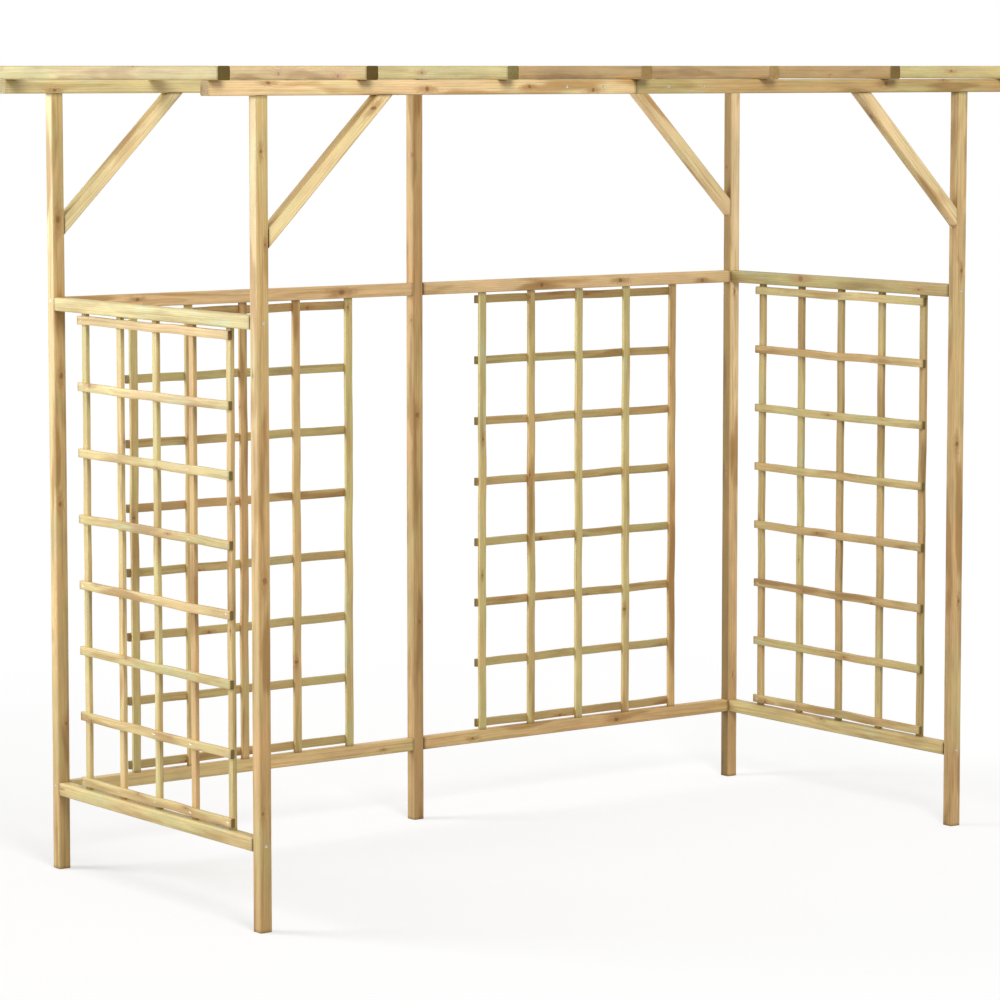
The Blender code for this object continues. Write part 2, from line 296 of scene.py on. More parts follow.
def dimple_depth(x, v, dimple):
    """How deep a screw's hole is at a place on a face.

    Straight: the sink, faded out by a smooth step over the last fifth of the radius. Slanted by an angle a:
    the lower of the hole's floor (sink - x cos a) / sin a and its ramp x tan a + w / cos a, w the half chord.
    """
    x = x - dimple["x"]
    v = v - dimple["v"]
    radius, sink, slant = dimple["radius"], dimple["sink"], dimple["slant"]
    if slant > STRAIGHT:
        return (sink + 0.0004) * (1.0 - smooth(0.82 * radius, radius, np.hypot(x, v)))
    x = x * dimple["way"]
    half_chord = np.sqrt(np.maximum(radius * radius - v * v, 0.0))
    ramp = x * math.tan(slant) + half_chord / math.cos(slant)
    floor = (sink - x * math.cos(slant)) / math.sin(slant)
    return np.where(np.abs(v) < radius, np.maximum(np.minimum(ramp, floor), 0.0), 0.0)


def knot_distances(x, y, z, knots, root, width, height):
    """Distances from the nearest knot's line, and its radius.

    The line runs from the root, near the heart, through the knot's own place on the surface. The distances
    are past it along the timber, aside of it, and outward along it from the root.
    """
    if not len(knots):
        return np.ones((*y.shape, 3)), np.full(y.shape, 0.001)
    lines = np.array(knots)
    nearest = np.argmin(np.abs(x[:, :1] - lines[:, 0]), axis=1)[:, None]
    way = np.radians(lines[nearest, 1])
    angle = np.arctan2(height / 2 * np.sin(way) - root[1], width / 2 * np.cos(way) - root[0])
    past = np.abs(x - lines[nearest, 0])
    aside = (z - root[1]) * np.cos(angle) - (y - root[0]) * np.sin(angle)
    outward = (y - root[0]) * np.cos(angle) + (z - root[1]) * np.sin(angle)
    return np.stack([past, aside, outward], axis=2), np.broadcast_to(lines[nearest, 2], y.shape)


def stick(length, width, height, temper, knots, radius=0.004, steps=4, bow=(0.0, 0.0), wave=0.0, mitre=0.0,
          dimples=(), spacing=0.045, ends=PLAIN_ENDS, faces=PLAIN_FACES, fade=PLAIN_FADE):
    """A timber or lath along X, as a grid of stations times outline points, closed by a fan at each end.

    Point (x, y, z): the outline at each station, drawn in at the corners by the arris's wear, bent sideways
    by bow (1 - (2x / length)^2), and at a mitre drawn in by mitre (z / height + 1/2) at both ends. Temper,
    knots, ends, faces and fade are rows of the tables above.
    """
    tone, shade, seed = temper
    rng = np.random.RandomState(seed)
    half = length / 2
    trim = 0.12 * radius
    soak = np.array([0.0015, 0.004, SOAKED])

    # Stations along the timber: evenly spaced, and closer near its ends, its knots and its screw holes
    marks = {face: [] for face in range(4)}
    places = [np.linspace(trim - half, half - trim, max(4, int(length / spacing))), soak - half, half - soak]
    places.append(np.array([knot[0] for knot in knots]))
    round_hole = np.array([-1.2, -1.0, -0.82, -0.5, 0.0, 0.5, 0.82, 1.0, 1.2])
    slanted_hole = np.linspace(-9.0, 9.0, 19) * 0.001
    for dimple in dimples:
        straight = dimple["slant"] > STRAIGHT
        places.append(dimple["x"] + round_hole * (dimple["radius"] * (1.0 if straight else 2.0)))
        marks[dimple["face"]].extend(dimple["v"] + round_hole * dimple["radius"])
        if not straight:
            places.append(dimple["x"] + slanted_hole)
    places = np.unique(np.round(np.concatenate(places), 5))
    places = places[np.abs(places) <= half - trim + 1e-5]

    # The outline at each station, drawn in step by step to both ends
    inset = 1.0 - 2.0 * trim / min(width, height)
    x = np.concatenate([[-half] * 3, places, [half] * 3])[:, None]
    shrink = np.concatenate([[0.35, 0.72, inset], np.ones(len(places)), [inset, 0.72, 0.35]])[:, None]
    ring = outline(width, height, radius, steps, marks)
    corner = ring[:, 2].astype(int)
    round_corner = np.broadcast_to(ring[:, 3], (len(x), len(ring)))
    y = ring[:, 0] * shrink
    z = ring[:, 1] * shrink
    x = np.broadcast_to(x, y.shape)

    # Screw holes: how deep each point is in one, and the points moved in by that
    depth = np.zeros(y.shape)
    ways = {0: (1, 0), 1: (0, 1), 2: (-1, 0), 3: (0, -1)}
    for dimple in dimples:
        face = dimple["face"]
        on_face = (ring[:, 0] > width / 2 - 1e-6, ring[:, 1] > height / 2 - 1e-6,
                   ring[:, 0] < 1e-6 - width / 2, ring[:, 1] < 1e-6 - height / 2)[face]
        across = z if face in (0, 2) else y
        sunk = dimple_depth(x, across, dimple) * on_face * (np.abs(x) < half - trim)
        depth = np.maximum(depth, sunk)
        y = y - ways[face][0] * sunk
        z = z - ways[face][1] * sunk

    # The grain runs round the heart, and the knots start close to it
    heart_way = rng.uniform(0.0, 2.0 * np.pi)
    heart = rng.uniform(0.3, 1.0) * max(width, height) * np.array([math.cos(heart_way), math.sin(heart_way)])
    root = heart * min(1.0, 0.3 * min(width, height) / np.hypot(*heart))
    knot, size = knot_distances(x, y, z, knots, root, width, height)
    grain_start = GRAIN_GAP * (seed % 97)
    grain = np.stack([x + grain_start, y - heart[0], z - heart[1]], axis=2)

    # Soaked ends, screw holes darkened as painted shade, and each face's own tone and shade, which on some
    # faces is painted light and shade
    strength = np.where(x < 0.0, ends[0], ends[1])
    cut = (np.abs(x) > half - 1e-6) * 1.0
    soak_and_painted_shade = strength * np.maximum(cut, 0.5 * smooth(half - SOAKED, half, np.abs(x)))
    # Painted shade: points sunk in a screw's hole are darkened like a cut end
    soak_and_painted_shade = np.maximum(soak_and_painted_shade, 0.75 * smooth(0.0, 0.0006, depth))
    # A face's offset from its table is painted light and shade on the posts' left faces, and heartwood and
    # partly painted shade on the braces
    side = np.arctan2(ring[:, 1] / height, ring[:, 0] / width) / (np.pi / 2) % 4.0
    turn = np.floor(side) + smooth(0.4, 0.6, side % 1.0)
    painted_face_shade_and_heartwood = np.interp(turn, np.arange(5), np.take(faces, np.arange(5) % 4))
    # Along a post the shade changes from head to foot: painted light at the head, painted shade at the foot
    share = 0.5 - x / length
    own_shade = (shade + painted_face_shade_and_heartwood) * (fade[0] + (fade[1] - fade[0]) * share)
    own_tone = tone - painted_face_shade_and_heartwood + fade[2] * share
    look = np.stack([own_tone, own_shade, soak_and_painted_shade, round_corner], axis=2)

    # Arris wear, bow and mitre
    wear = np.stack([wander(x[:, 0], seed * 7 + k, (0.41, 0.13, 0.047)) for k in range(4)], axis=1)
    wear = radius * (0.05 + 0.05 * wear)[:, corner] * round_corner
    y = y - wear * np.sign(ring[:, 0])
    z = z - wear * np.sign(ring[:, 1])
    bend = 1.0 - (x / half) ** 2
    sway = wave * wander(x, seed * 3 + 1, (0.9, 0.37, 0.21)) * bend
    y = y + bow[0] * bend
    z = z + bow[1] * bend + sway
    x = x * (half - mitre * (ring[:, 1] * shrink / height + 0.5)) / half

    # Faces, and a point in the middle of each end
    points = np.stack([x, y, z], axis=2).reshape(-1, 3)
    middles = np.array([[-half + mitre / 2, 0.0, 0.0], [half - mitre / 2, 0.0, 0.0]])
    index, turned, quads = walls(*y.shape)
    poles = np.full(len(ring), y.size)
    fans = np.concatenate([
        np.stack([poles, turned[0], index[0]], axis=1),
        np.stack([poles + 1, index[-1], turned[-1]], axis=1),
    ])

    def with_ends(values):
        """The points' values, and for the two middles those of the first and the last point."""
        flat = values.reshape(y.size, -1)
        return np.concatenate([flat, flat[:1], flat[-1:]])

    middle_grain = middles + (grain_start, -heart[0], -heart[1])
    return {
        "points": np.concatenate([points, middles]),
        "quads": quads,
        "fans": fans,
        "grain": np.concatenate([grain.reshape(-1, 3), middle_grain]),
        "knot": with_ends(knot),
        "knot_size": with_ends(size),
        "look": with_ends(look),
    }


def placed(shape, turn, place):
    """The same shape with each point p moved to turn p + place."""
    moved = dict(shape)
    moved["points"] = shape["points"] @ np.asarray(turn).T + np.asarray(place)
    return moved


def joined(shapes):
    """Several shapes as one: their points in a row, and their faces counted on from the points before."""
    starts = np.cumsum([0] + [len(shape["points"]) for shape in shapes[:-1]])
    whole = {}
    for key in shapes[0]:
        if key in ("quads", "fans"):
            whole[key] = np.concatenate([shape[key] + start for shape, start in zip(shapes, starts)])
        else:
            whole[key] = np.concatenate([shape[key] for shape in shapes])
    return whole


def new_piece(name, shape, finish, nodes=(), sharp=32.0):
    """A named piece from a shape, riding on the frame, with its finish and the nodes that it stands for."""
    mesh = bpy.data.meshes.new(name)
    mesh.from_pydata(shape["points"].tolist(), [], shape["quads"].tolist() + shape["fans"].tolist())
    for key, kind, field in (("grain", "FLOAT_VECTOR", "vector"), ("knot", "FLOAT_VECTOR", "vector"),
                             ("knot_size", "FLOAT", "value"), ("look", "FLOAT_COLOR", "color")):
        if key in shape:
            layer = mesh.attributes.new(key, kind, "POINT")
            layer.data.foreach_set(field, np.ascontiguousarray(shape[key], dtype=np.float32).ravel())
    mesh.shade_smooth()
    mesh.set_sharp_from_angle(angle=math.radians(sharp))
    mesh.materials.append(bpy.data.materials[finish])
    piece = bpy.data.objects.new(name, mesh)
    bpy.context.scene.collection.objects.link(piece)
    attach(piece, "root")
    if nodes:
        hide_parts(*nodes)
    return piece


# Where things are

def named(start):
    """Packed nodes whose names begin this way, in order."""
    found = sorted(node for node in NODES if node.startswith(start))
    if not found:
        raise RuntimeError(f"the packed model has no node that starts with {start}")
    return found


def corners_of(node):
    """A packed node's lowest and highest corners."""
    low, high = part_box(node)
    return np.array(low), np.array(high)


def lie_of(node):
    """A packed timber's middle, its turn from X, and its length, width and height before the turn."""
    low, high = corners_of(node)
    reach = high - low
    turn = (ALONG_X, ALONG_Y, ALONG_Z)[int(np.argmax(reach))]
    return (low + high) / 2, turn, np.abs(turn.T @ reach)


def brace_lie(node):
    """A knee brace's middle, turn and size: its box is square, and its long side is the box's diagonal."""
    low, high = corners_of(node)
    side = high[1] - low[1]
    leg = high[0] - low[0]
    way = 1.0 if low[0] + high[0] < 0.0 else -1.0
    slope = math.sqrt(0.5)
    along = np.array([way * slope, 0.0, slope])
    up = np.array([-way * slope, 0.0, slope])
    turn = np.stack([along, np.cross(up, along), up], axis=1)
    return (low + high) / 2 + up * side / 2, turn, np.array([leg / slope, side, side])


def packed_screw(node):
    """A packed screw's head, direction and length: from the mean of its flat end's points to its tip."""
    points = np.array([vertex.co for vertex in NODES[node].data.vertices])
    spread = points - points.mean(axis=0)
    way = np.linalg.svd(spread, full_matrices=False)[2][0]
    along = spread @ way
    wide = np.linalg.norm(spread - np.outer(along, way), axis=1)
    if along[np.argmax(wide)] > 0.0:
        along = -along
    tip = points[np.argmax(along)]
    top = points[along < along.min() + 1e-4]
    head = (top.min(axis=0) + top.max(axis=0)) / 2
    length = np.linalg.norm(tip - head)
    return head, (tip - head) / length, length


def all_screws():
    """Every screw's head, direction and length, by name: the packed ones, and those of rafters and braces."""
    screws = {node: packed_screw(node) for node in named("screw_")}
    for rafter in named("rafter_"):
        low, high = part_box(rafter)
        for row in ("front", "back"):
            beam_low, beam_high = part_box(f"beam_{row}_left")
            head = np.array([(low.x + high.x) / 2, (beam_low.y + beam_high.y) / 2, high.z - SCREW_SINK])
            screws[f"screw_{rafter}_{row}"] = (head, np.array([0.0, 0.0, -1.0]), RAFTER_SCREW)
    for brace in named("brace_"):
        middle, turn, size = brace_lie(brace)
        for place, way in (("foot", -1), ("top", 1)):
            spot = np.array([way * (size[0] / 2 - BRACE_SCREW_INSET), 0.0, SCREW_SINK - size[2] / 2])
            screws[f"screw_{brace}_{place}"] = (middle + turn @ spot, turn[:, 2], BRACE_SCREW)
    return screws


def dimples_of(middle, turn, size, screws):
    """The screws whose heads lie inside a timber, as places on its faces in its own directions."""
    found = []
    for head, way, _ in screws.values():
        spot = turn.T @ (head - middle)
        if np.any(np.abs(spot) > size / 2 + 1e-4):
            continue
        into = turn.T @ way
        face = int(np.argmax([-into[1], -into[2], into[1], into[2]]))
        axis = 1 if face in (0, 2) else 2
        sunk = size[axis] / 2 - abs(spot[axis])
        slant = math.asin(min(1.0, abs(into[axis])))
        sink = sunk / math.sin(slant)
        entry = spot - into * sink
        found.append({
            "x": entry[0], "v": entry[3 - axis], "face": face, "sink": sink, "slant": slant,
            "way": 1.0 if into[0] >= 0.0 else -1.0,
            "radius": HOLE_RADIUS if slant > STRAIGHT else SLANTED_HOLE_RADIUS,
        })
    return found


def random_knots(length, seed, size, gap):
    """Knots by chance: steps along the timber, an angle round its middle and a radius."""
    rng = np.random.RandomState(seed + 500)
    places = np.cumsum(rng.uniform(*gap, 24)) - length / 2 - rng.uniform(0.0, gap[0])
    places = places[np.abs(places) < length / 2 - 0.01]
    return [(place, rng.uniform(0.0, 360.0), size * rng.uniform(0.55, 1.1)) for place in places]


# Screws and staples

def screw_shape(length, radius=0.004, shank=0.002, around=24):
    """A countersunk screw down -Z: rings of radius r at depth z, with a cross pressed into its top.

    The cross is min(|x|, |y|) small and max(|x|, |y|) short, faded by smooth steps. On the threaded part the
    radius is core + thread * |2 frac(angle / 2 pi + z / pitch) - 1|, and it runs out towards the tip.
    """
    core = 0.62 * shank
    top = np.array([0.4, 0.8, 1.2, 1.6, 2.0, 2.4, 3.0, 3.7, 3.95]) * radius / 4.0
    neck = [(radius, 0.00025), (radius, 0.0006), (1.15 * shank, 0.0027), (0.8 * shank, 0.0034)]
    thread_start = max(0.4 * length, 0.012)
    steps = np.linspace(thread_start, length - 0.0015, int((length - thread_start) / 0.0008))
    r = np.concatenate([top, [ring[0] for ring in neck], np.full(len(steps) + 1, core)])
    z = np.concatenate([np.zeros(len(top)), [-ring[1] for ring in neck], [-thread_start], -steps])
    angle = np.arange(around) * 2.0 * np.pi / around
    r = np.broadcast_to(r[:, None], (len(z), around)).copy()
    z = np.broadcast_to(z[:, None], r.shape).copy()
    threaded = slice(len(top) + 5, None)
    turns = angle / (2.0 * np.pi) + z[threaded] / 0.0024
    ridge = np.abs(2.0 * (turns - np.floor(turns)) - 1.0) ** 3
    fade = smooth(0.0, 0.006, length + z[threaded])
    r[threaded] = (core + 0.36 * shank * ridge) * (0.12 + 0.88 * fade)
    x = r * np.cos(angle)
    y = r * np.sin(angle)
    long_way = np.maximum(np.abs(x), np.abs(y))
    short_way = np.minimum(np.abs(x), np.abs(y))
    cross = (1.0 - smooth(0.0003, 0.0008, short_way)) * (1.0 - smooth(0.0017, 0.0023, long_way))
    z[:len(top)] -= 0.0016 * cross[:len(top)] * (1.0 - long_way[:len(top)] / 0.0034)
    index, turned, quads = walls(*z.shape, flipped=True)
    poles = np.full(around, z.size)
    fans = np.concatenate([
        np.stack([poles, index[0], turned[0]], axis=1),
        np.stack([poles + 1, turned[-1], index[-1]], axis=1),
    ])
    ends = np.array([[0.0, 0.0, -0.0016], [0.0, 0.0, -length]])
    points = np.concatenate([np.stack([x, y, z], axis=2).reshape(-1, 3), ends])
    return {"points": points, "quads": quads, "fans": fans}


def staple_shape(span=0.010, wire=0.0005, leg=0.0015):
    """A staple's back and the start of its legs: a circle carried along a path turned down at both ends."""
    right = np.array([[0.4, 1.0], [0.46, 0.8], [0.5, 0.0], [0.5, -3.0]])
    path = np.concatenate([right[::-1] * (-1.0, 1.0), right]) * (span, leg / 3.0)
    ahead = np.gradient(path, axis=0)
    ahead /= np.linalg.norm(ahead, axis=1)[:, None]
    side = np.stack([-ahead[:, 1], ahead[:, 0]], axis=1)
    angle = np.arange(6) * np.pi / 3.0
    x = path[:, :1] + wire * side[:, :1] * np.cos(angle)
    z = path[:, 1:] + wire * side[:, 1:] * np.cos(angle)
    y = np.broadcast_to(wire * np.sin(angle), x.shape)
    index, _, quads = walls(*x.shape)
    first, last = index[0], index[-1]
    caps = np.array([first[[0, 5, 4, 3]], first[[0, 3, 2, 1]], last[[0, 1, 2, 3]], last[[0, 3, 4, 5]]])
    return {"points": np.stack([x, y, z], axis=2).reshape(-1, 3), "quads": np.concatenate([quads, caps]),
            "fans": np.zeros((0, 3), int)}


def about_z(angle):
    """A turn by an angle about Z."""
    along, across = math.cos(angle), math.sin(angle)
    return np.array([[along, -across, 0.0], [across, along, 0.0], [0.0, 0.0, 1.0]])


def facing(way):
    """A turn whose -Z points along a direction."""
    up = -np.asarray(way) / np.linalg.norm(way)
    guess = np.array([0.0, 1.0, 0.0]) if abs(up[1]) < 0.9 else np.array([1.0, 0.0, 0.0])
    right = np.cross(guess, up)
    right /= np.linalg.norm(right)
    return np.stack([right, np.cross(up, right), up], axis=1)


# Finishes

def add_node(tree, kind, **settings):
    """One shader node with its settings, placed in rows of seven."""
    made = tree.nodes.new(kind)
    for name, value in settings.items():
        setattr(made, name, value)
    made.location = (220 * (len(tree.nodes) % 7), -260 * (len(tree.nodes) // 7))
    return made


def feed(tree, socket, value):
    """Links a socket's source, or sets its value."""
    if isinstance(value, bpy.types.NodeSocket):
        tree.links.new(value, socket)
    else:
        socket.default_value = value


def feed_all(tree, sockets, **values):
    """Feeds sockets by their names, in which _ stands for a blank."""
    for name, value in values.items():
        feed(tree, sockets[name.replace("_", " ")], value)


def sum_up(tree, operation, *values):
    """One Math node on sockets or numbers."""
    made = add_node(tree, "ShaderNodeMath", operation=operation)
    for socket, value in zip(made.inputs, values):
        feed(tree, socket, value)
    return made.outputs[0]


def times(tree, first, second):
    """A product."""
    return sum_up(tree, "MULTIPLY", first, second)


def times_plus(tree, first, second, third):
    """A product and a number added to it."""
    return sum_up(tree, "MULTIPLY_ADD", first, second, third)


def vector_sum(tree, operation, *values):
    """One Vector Math node on sockets or vectors."""
    made = add_node(tree, "ShaderNodeVectorMath", operation=operation)
    for socket, value in zip(made.inputs, values):
        feed(tree, socket, value)
    return made.outputs["Value" if operation == "DOT_PRODUCT" else "Vector"]


def parts_of(tree, vector):
    """A vector's three numbers."""
    made = add_node(tree, "ShaderNodeSeparateXYZ")
    feed(tree, made.inputs[0], vector)
    return made.outputs


def ramp_of(tree, value, low, high, start=0.0, end=1.0):
    """A value's smooth step from start at low to end at high."""
    made = add_node(tree, "ShaderNodeMapRange", interpolation_type="SMOOTHSTEP")
    feed_all(tree, made.inputs, Value=value, From_Min=low, From_Max=high, To_Min=start, To_Max=end)
    return made.outputs[0]


def stretched(tree, vector, factors):
    """A vector scaled by a factor along each axis."""
    return vector_sum(tree, "MULTIPLY", vector, factors)


def cloud(tree, vector, scale=1.0, detail=2.0, roughness=0.5):
    """Noise about 0.5."""
    made = add_node(tree, "ShaderNodeTexNoise", noise_dimensions="3D")
    feed_all(tree, made.inputs, Vector=vector, Scale=scale, Detail=detail, Roughness=roughness)
    return made.outputs[0]


def grain_cloud(tree, grain, along, across, detail=2.0, roughness=0.5):
    """Noise about 0.5, drawn out along the grain."""
    return cloud(tree, stretched(tree, grain, (along, across, across)), 1.0, detail, roughness)


def mixed(tree, factor, first, second, kind="MIX"):
    """Two colours mixed by a factor."""
    made = add_node(tree, "ShaderNodeMix", data_type="RGBA", blend_type=kind)
    feed(tree, made.inputs[0], factor)
    for socket, value in zip(made.inputs[6:8], (first, second)):
        feed(tree, socket, value if isinstance(value, bpy.types.NodeSocket) else (*value, 1.0))
    return made.outputs[2]


def bumped(tree, height, strength, distance):
    """The normal of a surface raised by a height."""
    made = add_node(tree, "ShaderNodeBump")
    feed_all(tree, made.inputs, Height=height, Strength=strength, Distance=distance)
    return made.outputs[0]


def darker(colour, factor):
    """A colour times a factor."""
    return tuple(factor * channel for channel in colour)


def seen_rays(tree):
    """1 for what the camera sees, also in a reflection or through glass, and 0 for light on its way."""
    path = add_node(tree, "ShaderNodeLightPath").outputs
    mirrored = sum_up(tree, "MAXIMUM", path["Is Glossy Ray"], path["Is Transmission Ray"])
    return sum_up(tree, "MAXIMUM", path["Is Camera Ray"], mirrored)


def lamp_light(tree, spot, place, size, power):
    """A round lamp's light on the floor, over pi.

    It is power z (d . aim) / (pi^2 d^2 (d^2 + size^2 / 8)), with d the way from the lamp at height z to the
    spot, and a small share more for what the floor and the timbers throw back.
    """
    away = vector_sum(tree, "SUBTRACT", spot, place)
    ahead = vector_sum(tree, "DOT_PRODUCT", away, tuple((LIT - Vector(place)).normalized()))
    square = vector_sum(tree, "DOT_PRODUCT", away, away)
    spread = times(tree, square, sum_up(tree, "ADD", square, size ** 2 / 8.0))
    lit = sum_up(tree, "DIVIDE", sum_up(tree, "MAXIMUM", ahead, 0.0), spread)
    return times(tree, lit, THROWN_BACK * power * place[2] / math.pi ** 2)


def new_group(name, inputs, outputs):
    """A shader group with named sockets, and its two end nodes."""
    group = bpy.data.node_groups.new(name, "ShaderNodeTree")
    for label, kind, value in inputs:
        socket = group.interface.new_socket(name=label, in_out="INPUT", socket_type="NodeSocket" + kind)
        socket.default_value = value
    for label, kind in outputs:
        group.interface.new_socket(name=label, in_out="OUTPUT", socket_type="NodeSocket" + kind)
    return group, add_node(group, "NodeGroupInput"), add_node(group, "NodeGroupOutput")


def knot_group():
    """Knots: the distance to a knot's line over its radius, roughened, and cut into a core and a halo."""
    tree, given, out = new_group(
        "knots",
        [("Grain", "Vector", (0, 0, 0)), ("Knot", "Vector", (1, 1, 1)), ("Size", "Float", 0.005)],
        [("Core", "Float"), ("Halo", "Float"), ("Flow", "Float"), ("Rings", "Float")],
    )
    past, aside, outward = parts_of(tree, given.outputs["Knot"])
    size = times(tree, given.outputs["Size"], ramp_of(tree, outward, -0.004, 0.03, 0.35, 1.0))
    aside = times(tree, aside, aside)
    rough = cloud(tree, stretched(tree, given.outputs["Grain"], (0.5, 1.0, 1.0)), 210.0)
    rough = times_plus(tree, rough, 1.1, 0.45)
    shares = []
    for length in (1.4, 4.5):
        long_way = sum_up(tree, "DIVIDE", past, length)
        distance = sum_up(tree, "SQRT", times_plus(tree, long_way, long_way, aside))
        shares.append(times(tree, sum_up(tree, "DIVIDE", distance, size), rough))
    share, long_share = shares
    there = ramp_of(tree, outward, 0.0, 0.003)
    feed_all(tree, out.inputs,
             Core=times(tree, ramp_of(tree, share, 0.55, 1.25, 0.85, 0.0), there),
             Halo=times(tree, ramp_of(tree, long_share, 0.5, 2.4, 1.0, 0.0), there),
             Flow=times(tree, ramp_of(tree, share, 0.3, 4.5, 1.0, 0.0), there),
             Rings=sum_up(tree, "FRACT", times(tree, share, 3.0)))


def ring_group():
    """Growth rings: the distance from the heart over a ring's width, pushed out by knots and slow noise."""
    tree, given, out = new_group(
        "growth_rings",
        [("Grain", "Vector", (0, 0, 0)), ("Flow", "Float", 0.0), ("Width", "Float", 0.003)],
        [("Late Wood", "Float"), ("Fibre", "Float"), ("Streak", "Float")],
    )
    grain = given.outputs["Grain"]
    _, side, level = parts_of(tree, grain)
    distance = sum_up(tree, "SQRT", sum_up(tree, "ADD", times(tree, side, side), times(tree, level, level)))
    distance = times_plus(tree, grain_cloud(tree, grain, 2.2, 20.0), 0.016, distance)
    distance = times_plus(tree, grain_cloud(tree, grain, 14.0, 90.0, 1.0), 0.0012, distance)
    distance = times_plus(tree, given.outputs["Flow"], 0.006, distance)
    year = sum_up(tree, "FRACT", sum_up(tree, "DIVIDE", distance, given.outputs["Width"]))
    late = times(tree, sum_up(tree, "POWER", year, 2.2), ramp_of(tree, year, 0.9, 1.0, 1.0, 0.0))
    feed_all(tree, out.inputs, Late_Wood=late,
             Fibre=grain_cloud(tree, grain, 22.0, 900.0, 3.0, 0.6),
             Streak=grain_cloud(tree, grain, 2.6, 110.0, 2.0, 0.55))


def tint_group():
    """Slow changes along the timber: hue, shade, brown stain and copper green, a cloud for each."""
    tree, given, out = new_group(
        "slow_tint",
        [("Grain", "Vector", (0, 0, 0)), ("Tone", "Float", 0.5), ("Spread", "Float", 0.7)],
        [("Tone", "Float"), ("Shade", "Float"), ("Stain", "Float"), ("Copper", "Float")],
    )
    grain = given.outputs["Grain"]
    hue = sum_up(tree, "SUBTRACT", grain_cloud(tree, grain, 3.1, 14.0, 3.0, 0.55), 0.5)
    tone = times_plus(tree, times(tree, hue, given.outputs["Spread"]), 2.4, given.outputs["Tone"])
    feed_all(tree, out.inputs,
             Tone=ramp_of(tree, tone, -0.25, 1.25),
             Shade=grain_cloud(tree, grain, 6.3, 30.0, 3.0, 0.6),
             Stain=ramp_of(tree, grain_cloud(tree, grain, 3.7, 24.0, 2.0, 0.45), 0.54, 0.66),
             Copper=ramp_of(tree, grain_cloud(tree, grain, 6.1, 26.0), 0.56, 0.70))


def end_group():
    """Saw-cut ends: late wood and blotches that soaked up more, and the saw's cross marks."""
    tree, given, out = new_group(
        "cut_ends",
        [("Grain", "Vector", (0, 0, 0)), ("Late Wood", "Float", 0.0)],
        [("Dark", "Float"), ("Height", "Float")],
    )
    grain = given.outputs["Grain"]
    saw = cloud(tree, stretched(tree, grain, (0.0, 160.0, 900.0)))
    blotch = times(tree, grain_cloud(tree, grain, 8.0, 70.0), 0.7)
    dark = times_plus(tree, given.outputs["Late Wood"], 0.5, blotch)
    feed_all(tree, out.inputs, Dark=times_plus(tree, saw, 0.25, dark), Height=saw)


def use_group(tree, name, **values):
    """A group placed in a material with its inputs linked or set."""
    made = add_node(tree, "ShaderNodeGroup")
    made.node_tree = bpy.data.node_groups[name]
    feed_all(tree, made.inputs, **values)
    return made.outputs


def stored(tree, name):
    """What a mesh holds at each point under a name."""
    return add_node(tree, "ShaderNodeAttribute", attribute_name=name).outputs


def new_finish(name):
    """A new material's node tree, and the sockets of its shader."""
    material = bpy.data.materials.new(name)
    material.use_nodes = True
    return material.node_tree, material.node_tree.nodes["Principled BSDF"].inputs


